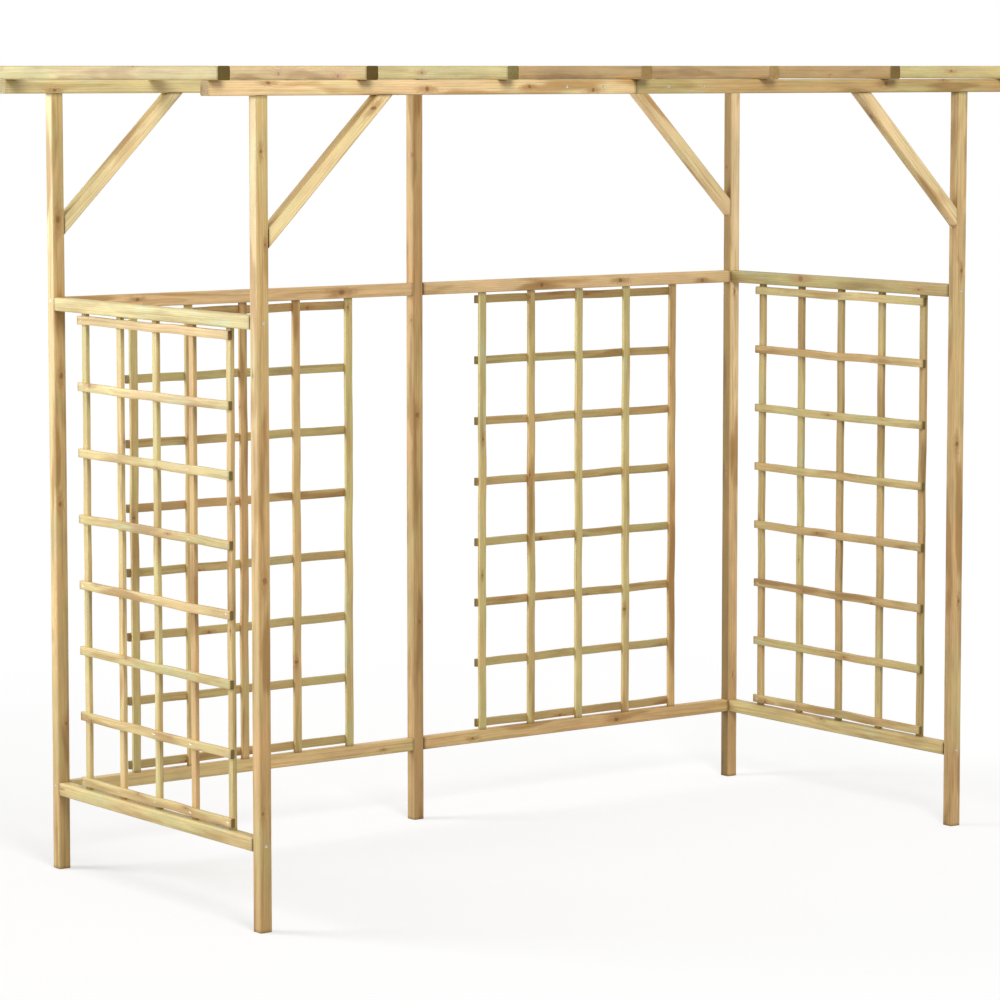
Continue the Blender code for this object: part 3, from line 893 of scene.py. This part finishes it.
def timber_finish(name, ring_width, strength, wood):
    """Planed, impregnated softwood with its rings, knots, slow tints, dark cut ends and lighter arrises."""
    tree, shader = new_finish(name)
    grain = stored(tree, "grain")["Vector"]
    look = stored(tree, "look")
    parts = add_node(tree, "ShaderNodeSeparateColor")
    feed(tree, parts.inputs[0], look["Color"])
    own_tone, own_shade, end = parts.outputs

    knots = use_group(tree, "knots", Grain=grain, Knot=stored(tree, "knot")["Vector"],
                      Size=stored(tree, "knot_size")["Fac"])
    rings = use_group(tree, "growth_rings", Grain=grain, Flow=knots["Flow"], Width=ring_width)
    tint = use_group(tree, "slow_tint", Grain=grain, Tone=own_tone, Spread=wood.spread)
    cut = use_group(tree, "cut_ends", Grain=grain, Late_Wood=rings["Late Wood"])

    # Clear wood, from the ground colour up
    colour = mixed(tree, tint["Tone"], wood.green, wood.pink)
    for factor, layer in (
        (times(tree, tint["Copper"], ramp_of(tree, own_tone, 0.1, 0.7, 0.6, 0.05)), wood.copper),
        # Paler and deeper wood follow each face's shade, so on the posts' left faces they carry its painted
        # light, as painted sheen, and its painted shade
        (ramp_of(tree, own_shade, 0.45, 0.80, 0.0, 0.5), wood.pale),
        (ramp_of(tree, own_shade, 0.30, 0.42, 0.55, 0.0), wood.deep),
        (times(tree, rings["Late Wood"], strength), wood.late),
        (ramp_of(tree, rings["Streak"], 0.54, 0.74, 0.0, 0.55), wood.late),
        (times(tree, tint["Stain"], ramp_of(tree, own_tone, -0.1, 0.6, 0.25, 0.75)), wood.stain),
    ):
        colour = mixed(tree, factor, colour, layer)
    fibre = ramp_of(tree, rings["Fibre"], 0.3, 0.7, 0.92, 1.07)
    level = times(tree, fibre, times(tree, times_plus(tree, tint["Shade"], 1.3, 1.4), own_shade))
    grey = add_node(tree, "ShaderNodeCombineColor")
    for socket in grey.inputs:
        feed(tree, socket, level)
    colour = mixed(tree, 1.0, colour, grey.outputs[0], "MULTIPLY")

    # Knots, arrises, sawn ends dark as soaked grain and partly painted shade, and screw holes dark as painted
    # shade
    knot = mixed(tree, knots["Rings"], wood.knot, darker(wood.knot, 0.62))
    dark_end = mixed(tree, cut["Dark"], wood.end, darker(wood.end, 0.45))
    for factor, layer in (
        (times(tree, knots["Halo"], 0.65), wood.resin),
        (knots["Core"], knot),
        (times(tree, look["Alpha"], 0.16), wood.arris),
        (end, dark_end),
    ):
        colour = mixed(tree, factor, colour, layer)

    rough = times_plus(tree, rings["Fibre"], 0.2, 0.38)
    rough = times_plus(tree, knots["Halo"], -0.10, rough)
    height = times_plus(tree, rings["Late Wood"], 0.35, rings["Fibre"])
    height = times_plus(tree, knots["Core"], 0.5, height)
    height = times_plus(tree, times(tree, cut["Height"], end), 1.5, height)
    feed_all(tree, shader, Base_Color=colour, Roughness=times_plus(tree, end, 0.4, rough),
             Normal=bumped(tree, height, 0.22, 0.0006), Specular_IOR_Level=0.3)


def steel_finish(name, colour, roughness):
    """Zinc plate with a faint spangle and dull spots."""
    tree, shader = new_finish(name)
    place = add_node(tree, "ShaderNodeTexCoord").outputs["Object"]
    spangle = cloud(tree, place, 900.0)
    spots = ramp_of(tree, cloud(tree, place, 1700.0, 1.0), 0.55, 0.75)
    dull = darker(colour, 0.55)
    tint = mixed(tree, ramp_of(tree, spangle, 0.35, 0.7, 0.0, 0.35), colour, dull)
    tint = mixed(tree, times(tree, spots, 0.4), tint, dull)
    feed_all(tree, shader, Base_Color=tint, Roughness=times_plus(tree, spangle, 0.3, roughness - 0.15),
             Normal=bumped(tree, spangle, 0.2, 0.00005), Metallic=1.0)


# Settings

def colour_setting(name, description, default):
    """A colour that a user can change."""
    return FloatVectorProperty(name=name, description=description, subtype="COLOR", size=3, min=0.0, max=1.0,
                               default=default)


def number_setting(name, description, default, **limits):
    """A number that a user can change."""
    return FloatProperty(name=name, description=description, default=default, **limits)


def length_setting(name, description, default, **limits):
    """A length in metres that a user can change."""
    return number_setting(name, description, default, unit="LENGTH", **limits)


class PergolaWood(PropertyGroup):
    """Colours of the impregnated softwood."""

    green: colour_setting("Greenish wood", "Pale wood where the impregnation shows", (0.62, 0.545, 0.228))
    pink: colour_setting("Pinkish wood", "Warmer wood near the heart", (0.70, 0.43, 0.19))
    late: colour_setting("Late wood", "Darker part of each growth ring, and streaks", (0.38, 0.235, 0.08))
    stain: colour_setting("Stain", "Brown patches of heartwood", (0.37, 0.20, 0.062))
    copper: colour_setting("Copper green", "Where impregnation dried on the surface", (0.56, 0.62, 0.37))
    pale: colour_setting("Pale wood", "Sapwood of the lightest timbers", (0.78, 0.66, 0.45))
    deep: colour_setting("Deep wood", "Wood of the darkest timbers", (0.54, 0.345, 0.065))
    resin: colour_setting("Round knots", "Resinous wood round a knot", (0.41, 0.21, 0.07))
    knot: colour_setting("Knots", "The knots themselves", (0.33, 0.155, 0.055))
    arris: colour_setting("Arrises", "Rounded long edges", (0.68, 0.53, 0.27))
    # The cut ends' dark colour is soaked end grain and partly painted shade
    end: colour_setting("Cut ends", "Saw-cut ends, soaked dark", (0.13, 0.082, 0.010))
    spread: number_setting("Hue spread", "How much the hue changes along a timber", 1.0, min=0.0, max=2.0)
    arris_radius: length_setting("Arris radius", "Rounding of long edges", 0.004, min=0.001, max=0.008)
    bow: length_setting("Bow", "Most that a timber is bent sideways", 0.0008, min=0.0, max=0.001)


class PergolaTrellis(PropertyGroup):
    """Laths of the trellis panels."""

    width: length_setting("Lath width", "Width of a lath", 0.022)
    thickness: length_setting("Lath thickness", "Thickness of a lath", 0.011)
    uprights: IntProperty(name="Upright laths", description="Upright laths in a panel", default=5, min=2)
    crosses: IntProperty(name="Cross laths", description="Cross laths in a panel", default=8, min=2)
    upright_end: length_setting("Upright ends", "Uprights run past the end cross laths", 0.0075)
    cross_end: length_setting("Cross ends", "Cross laths run past the outer uprights", 0.005)
    wave: length_setting("Wave", "How far a lath wanders in the panel's plane", 0.0022)


class PergolaSteel(PropertyGroup):
    """Zinc-plated screws and staples."""

    colour: colour_setting("Zinc plate", "Colour of screws and staples", (0.68, 0.64, 0.55))
    roughness: number_setting("Roughness", "Dullness of the plating", 0.36, min=0.1, max=1.0)


class PergolaStage(PropertyGroup):
    """Floor, light and camera."""

    floor: colour_setting("Floor", "Colour of the floor", (0.50, 0.50, 0.50))
    white: number_setting("Floor white", "Brightness of the open floor where it is seen", 1.02)
    sky: number_setting("Room light", "Even light from all round", 0.47)
    key: number_setting("Key lamp", "Power of the soft box on the left, in watts", 225.0)
    front: number_setting("Front lamp", "Power of the soft box in front, in watts", 210.0)
    lens: number_setting("Lens", "Focal length of the camera, in millimetres", 141.94)


# Operators

def timbers(context, nodes, finish):
    """One piece for each packed timber, with its knots, bow and screw holes. A rafter bows outwards."""
    wood = context.scene.pergola_wood
    screws = all_screws()
    for node in nodes:
        is_brace = node.startswith("brace_")
        middle, turn, size = brace_lie(node) if is_brace else lie_of(node)
        seed = TEMPERS[node][2]
        knots = KNOTS.get(node) or random_knots(size[0], seed, *TIMBER_KNOTS)
        bow = np.random.RandomState(seed + 900).uniform(-1.0, 1.0, 2) * wood.bow * min(1.0, size[0])
        if node.startswith("rafter_"):
            bow = (abs(bow[0]) * np.sign(middle[0]), 0.0)
        shape = stick(*size, TEMPERS[node], knots, radius=wood.arris_radius,
                      bow=(0.0, 0.0) if is_brace else bow,
                      mitre=size[2] if is_brace else 0.0,
                      dimples=dimples_of(middle, turn, size, screws),
                      ends=END_SOAK_AND_PAINTED_SHADE.get(node, PLAIN_ENDS),
                      faces=FACE_HEARTWOOD_AND_PAINTED_SHADE.get(node, PLAIN_FACES),
                      fade=POST_TONE_AND_PAINTED_SHADE.get(node, PLAIN_FADE))
        new_piece(f"wood_{node}", placed(shape, turn, middle), finish, (node,))


class PERGOLA_OT_finishes(Operator):
    """Makes the wood and steel finishes and the shader groups that they share"""

    bl_idname = "pergola.finishes"
    bl_label = "Finishes"

    def execute(self, context):
        wood = context.scene.pergola_wood
        steel = context.scene.pergola_steel
        for make in (knot_group, ring_group, tint_group, end_group):
            make()
        for name, ring_width, strength in (
            ("post_wood", 0.0050, 0.50),
            ("rail_wood", 0.0046, 0.48),
            ("beam_wood", 0.0054, 0.50),
            ("brace_wood", 0.0044, 0.48),
            ("rafter_wood", 0.0048, 0.50),
            ("lath_wood", 0.0036, 0.45),
        ):
            timber_finish(name, ring_width, strength, wood)
        steel_finish("zinc_plate", steel.colour, steel.roughness)
        return {"FINISHED"}


class PERGOLA_OT_posts(Operator):
    """Makes the five posts"""

    bl_idname = "pergola.posts"
    bl_label = "Posts"

    def execute(self, context):
        timbers(context, named("post_"), "post_wood")
        return {"FINISHED"}


class PERGOLA_OT_rails(Operator):
    """Makes the eight rails between the posts"""

    bl_idname = "pergola.rails"
    bl_label = "Rails"

    def execute(self, context):
        timbers(context, named("rail_"), "rail_wood")
        return {"FINISHED"}


class PERGOLA_OT_beams(Operator):
    """Makes the two roof beams, each of two lengths, and the block behind the front joint"""

    bl_idname = "pergola.beams"
    bl_label = "Beams"

    def execute(self, context):
        timbers(context, named("beam_"), "beam_wood")
        timbers(context, ["splice_block"], "beam_wood")
        return {"FINISHED"}


class PERGOLA_OT_braces(Operator):
    """Makes the four knee braces"""

    bl_idname = "pergola.braces"
    bl_label = "Knee braces"

    def execute(self, context):
        timbers(context, named("brace_"), "brace_wood")
        return {"FINISHED"}


class PERGOLA_OT_rafters(Operator):
    """Makes the seven rafters"""

    bl_idname = "pergola.rafters"
    bl_label = "Rafters"

    def execute(self, context):
        timbers(context, named("rafter_"), "rafter_wood")
        return {"FINISHED"}


class PERGOLA_OT_trellis(Operator):
    """Makes the four trellis panels, lath by lath, and their staples"""

    bl_idname = "pergola.trellis"
    bl_label = "Trellis"

    def execute(self, context):
        for number, node in enumerate(named("trellis_")):
            self.panel(context.scene.pergola_trellis, number, node)
        return {"FINISHED"}

    @staticmethod
    def panel(trellis, number, node):
        """Evenly spaced uprights behind, cross laths in front, and a staple where each two cross."""
        low, high = corners_of(node)
        reach = high - low
        turn = ALONG_Y if reach[1] > reach[0] else ALONG_X
        width, depth, height = max(reach[:2]), min(reach[:2]), reach[2]
        place = np.array([(low[0] + high[0]) / 2, (low[1] + high[1]) / 2, low[2]])
        forward = (depth - trellis.thickness) / 2
        gap = (width - trellis.width - 2 * trellis.cross_end) / (trellis.uprights - 1)
        columns = (np.arange(trellis.uprights) - (trellis.uprights - 1) / 2) * gap
        first = trellis.upright_end + trellis.width / 2
        rows = first + np.arange(trellis.crosses) * (height - 2 * first) / (trellis.crosses - 1)
        rng = np.random.RandomState(60 + number)

        def lath(i, kind, length, looks):
            """A lath along X. Its tone and shade are the i-th of the looks, which start again at the end."""
            first_seed, knot_size, knot_gap, spacing = kind
            seed = first_seed + 40 * number + i
            knots = random_knots(length, seed, knot_size, knot_gap)
            return stick(length, trellis.thickness, trellis.width, (*looks[i % len(looks)], seed), knots,
                         radius=LATH_ARRIS, steps=2, bow=(0.0, rng.uniform(-LATH_BOW, LATH_BOW)),
                         wave=trellis.wave, spacing=spacing, ends=LATH_ENDS)

        upright_looks, cross_looks = LATHS[node]
        laths = []
        for i, column in enumerate(columns):
            upright = lath(i, UPRIGHT, height, upright_looks)
            laths.append(placed(upright, ALONG_Z, (column, -forward, height / 2)))
        for i, row in enumerate(rows):
            laths.append(placed(lath(i, CROSS, width, cross_looks), ALONG_X, (0.0, forward, row)))
        whole = placed(joined(laths), turn, place)
        new_piece(f"laths_{node}", whole, "lath_wood", (node,), sharp=40.0)

        # A staple lies on the front: its Y and Z change places, which also turns its faces outwards
        staples = []
        for column in columns:
            for row in rows:
                spin = about_z(rng.uniform(-STAPLE_TURN, STAPLE_TURN))[[0, 2, 1]]
                across = column + rng.uniform(-STAPLE_STRAY, STAPLE_STRAY)
                up = row + rng.uniform(-STAPLE_STRAY, STAPLE_STRAY)
                staples.append(placed(staple_shape(), spin, (across, depth / 2, up)))
        new_piece(f"staples_{node}", placed(joined(staples), turn, place), "zinc_plate")


class PERGOLA_OT_screws(Operator):
    """Makes every screw, with its thread and the cross in its head"""

    bl_idname = "pergola.screws"
    bl_label = "Screws"

    def execute(self, context):
        for name, (head, way, length) in all_screws().items():
            spin = np.random.RandomState(len(name) * 7 + ord(name[-1])).uniform(0.0, np.pi)
            shape = placed(screw_shape(length), facing(way) @ about_z(spin), head)
            new_piece(f"steel_{name}", shape, "zinc_plate", (name,) if name in NODES else ())
        return {"FINISHED"}


class PERGOLA_OT_stage(Operator):
    """Makes the floor, the room's light, the lamps and the camera"""

    bl_idname = "pergola.stage"
    bl_label = "Stage"

    def execute(self, context):
        stage = context.scene.pergola_stage
        scene = context.scene
        self.floor(scene, stage)
        self.room(scene, stage)
        for name, place, size, setting, colour in LAMPS:
            self.lamp(scene, name, place, size, getattr(stage, setting), colour)
        camera = bpy.data.objects.new("camera", bpy.data.cameras.new("camera"))
        scene.collection.objects.link(camera)
        camera.location = CAMERA_PLACE
        camera.rotation_euler = (math.radians(90.0 - CAMERA_DOWN), 0.0, math.radians(-CAMERA_RIGHT))
        camera.data.lens = stage.lens
        camera.data.sensor_width = FILM_WIDTH
        camera.data.shift_y = CAMERA_SHIFT
        camera.data.clip_end = CAMERA_REACH
        scene.camera = camera
        scene.view_settings.view_transform = "Standard"
        return {"FINISHED"}

    @staticmethod
    def floor(scene, stage):
        """A round floor at z = 0: rings of radius r at angle a, at (r cos a, r sin a).

        Where it is seen, it glows by what the lamps and the room leave out of its white, so shadows stay.
        """
        radii = np.array([2.0, 5.0, 12.0, 30.0, 90.0, 250.0])[:, None]
        around = 48
        angle = np.arange(around) * 2.0 * np.pi / around
        x = radii * np.cos(angle)
        y = radii * np.sin(angle)
        points = np.stack([x, y, np.zeros(x.shape)], axis=2).reshape(-1, 3)
        index, turned, quads = walls(*x.shape, flipped=True)
        fan = np.stack([np.full(around, x.size), index[0], turned[0]], axis=1)
        mesh = bpy.data.meshes.new("floor")
        mesh.from_pydata(points.tolist() + [(0.0, 0.0, 0.0)], [], quads.tolist() + fan.tolist())
        floor = bpy.data.objects.new("floor", mesh)
        scene.collection.objects.link(floor)
        tree, shader = new_finish("pale_floor")
        spot = add_node(tree, "ShaderNodeTexCoord").outputs["Object"]
        light = [stage.sky * part for part in WARM]
        for _, place, size, setting, colour in LAMPS:
            lit = lamp_light(tree, spot, place, size, getattr(stage, setting))
            light = vector_sum(tree, "MULTIPLY_ADD", lit, colour, light)
        glow = vector_sum(tree, "MULTIPLY_ADD", light, [-part for part in stage.floor], (stage.white,) * 3)
        glow = vector_sum(tree, "MAXIMUM", glow, (0.0, 0.0, 0.0))
        feed_all(tree, shader, Base_Color=(*stage.floor, 1.0), Roughness=1.0, Specular_IOR_Level=0.0,
                 Emission_Color=glow, Emission_Strength=seen_rays(tree))
        mesh.materials.append(bpy.data.materials["pale_floor"])

    @staticmethod
    def room(scene, stage):
        """Even light all round, and white where the camera or a reflection sees past the floor."""
        world = bpy.data.worlds.new("room")
        scene.world = world
        world.use_nodes = True
        tree = world.node_tree
        tree.nodes.clear()
        seen = seen_rays(tree)
        light = add_node(tree, "ShaderNodeBackground")
        feed_all(tree, light.inputs, Color=mixed(tree, seen, WARM, (1.0, 1.0, 1.0)),
                 Strength=times_plus(tree, seen, 1.0 - stage.sky, stage.sky))
        out = add_node(tree, "ShaderNodeOutputWorld")
        feed(tree, out.inputs[0], light.outputs[0])

    @staticmethod
    def lamp(scene, name, place, size, power, colour):
        """A round soft lamp at a place, turned towards the middle of the pergola."""
        lamp = bpy.data.objects.new(name, bpy.data.lights.new(name, "AREA"))
        scene.collection.objects.link(lamp)
        lamp.data.shape = "DISK"
        lamp.data.size = size
        lamp.data.energy = power
        lamp.data.color = colour
        lamp.location = place
        lamp.rotation_euler = (Vector(place) - LIT).to_track_quat("Z", "Y").to_euler()
        lamp.visible_camera = False


class PERGOLA_PT_sidebar(Panel):
    """Sizes and colours, and the steps in order"""

    bl_label = "Pergola"
    bl_idname = "PERGOLA_PT_sidebar"
    bl_space_type = "VIEW_3D"
    bl_region_type = "UI"
    bl_category = "Pergola"

    def draw(self, context):
        for group in SETTINGS:
            box = self.layout.box()
            box.label(text=group.__doc__)
            for name in group.__annotations__:
                box.prop(getattr(context.scene, SETTINGS[group]), name)
        for operator in STEPS:
            self.layout.operator(operator.bl_idname)


SETTINGS = {
    PergolaWood: "pergola_wood",
    PergolaTrellis: "pergola_trellis",
    PergolaSteel: "pergola_steel",
    PergolaStage: "pergola_stage",
}
STEPS = (
    PERGOLA_OT_finishes,
    PERGOLA_OT_posts,
    PERGOLA_OT_rails,
    PERGOLA_OT_beams,
    PERGOLA_OT_braces,
    PERGOLA_OT_rafters,
    PERGOLA_OT_trellis,
    PERGOLA_OT_screws,
    PERGOLA_OT_stage,
)


def register():
    for group, name in SETTINGS.items():
        bpy.utils.register_class(group)
        setattr(bpy.types.Scene, name, PointerProperty(type=group))
    for made in (*STEPS, PERGOLA_PT_sidebar):
        bpy.utils.register_class(made)


def unregister():
    for made in reversed((*STEPS, PERGOLA_PT_sidebar)):
        bpy.utils.unregister_class(made)
    for group, name in SETTINGS.items():
        delattr(bpy.types.Scene, name)
        bpy.utils.unregister_class(group)


def main():
    register()
    for step in STEPS:
        getattr(bpy.ops.pergola, step.bl_idname.split(".")[1])()


if __name__ == "__main__":
    main()
